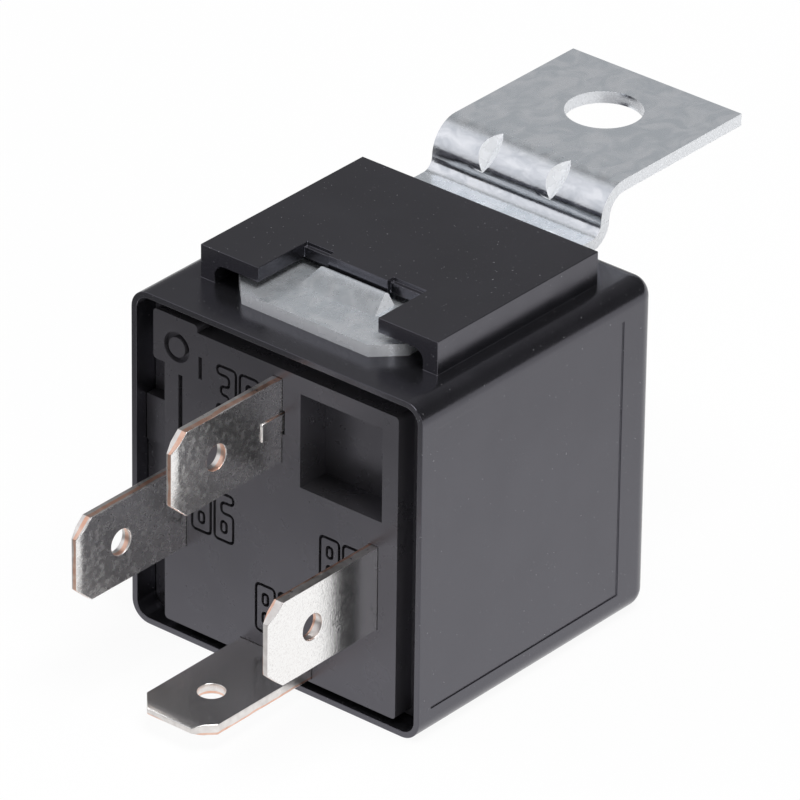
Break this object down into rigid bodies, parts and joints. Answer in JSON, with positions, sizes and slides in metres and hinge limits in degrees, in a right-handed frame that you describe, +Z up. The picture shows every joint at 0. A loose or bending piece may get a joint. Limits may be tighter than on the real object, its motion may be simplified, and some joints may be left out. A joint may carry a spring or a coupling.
{
  "type": "automotive relay",
  "caption": "Cube-shaped automotive relay with flat blade terminals and a sheet-metal mounting bracket slid into a rail on its cover.",
  "frame": {"origin": "centre of the cover's plain face that the relay rests on", "axes": "+Z up to the rail and bracket, -Y out along the blade terminals, +X to the right of the terminals"},
  "size_m": [0.0254, 0.0507, 0.0298],
  "materials": {
    "cover_plastic": "smooth black moulded plastic",
    "base_plastic": "dull black moulded plastic",
    "zinc_plate": "zinc-plated sheet steel",
    "tinned_copper": "tin-plated copper strip",
    "nylon": "natural moulded nylon",
    "enamelled_copper": "enamelled copper wire",
    "coil_tape": "amber insulating tape",
    "soft_iron": "plated soft iron",
    "bronze": "bronze spring strip",
    "contact_silver": "silver alloy"
  },
  "bodies": {
    "housing": {"cover": "cover_plastic", "base": "base_plastic", "mounting_bracket": "zinc_plate", "terminal_30": "tinned_copper", "terminal_85": "tinned_copper", "terminal_86": "tinned_copper", "terminal_87": "tinned_copper", "bobbin": "nylon", "coil_winding": "enamelled_copper", "coil_tape": "coil_tape", "coil_lead_85": "enamelled_copper", "coil_lead_86": "enamelled_copper", "core": "soft_iron", "yoke": "soft_iron", "yoke_rivets": "soft_iron", "fixed_contact": "contact_silver"},
    "armature": {"armature": "soft_iron", "contact_spring": "bronze", "armature_rivets": "soft_iron", "moving_contact": "contact_silver"}
  },
  "joints": [
    {"name": "armature_pivot", "type": "hinge", "parent": "housing", "child": "armature", "pos_m": [0, 0.00796, 0.0229], "axis": [-1, 0, 0], "range_deg": [0, 2.6], "stiffness_Nm_per_rad": 0.1, "springref_deg": -1.72, "deforming": ["contact_spring"]}
  ]
}
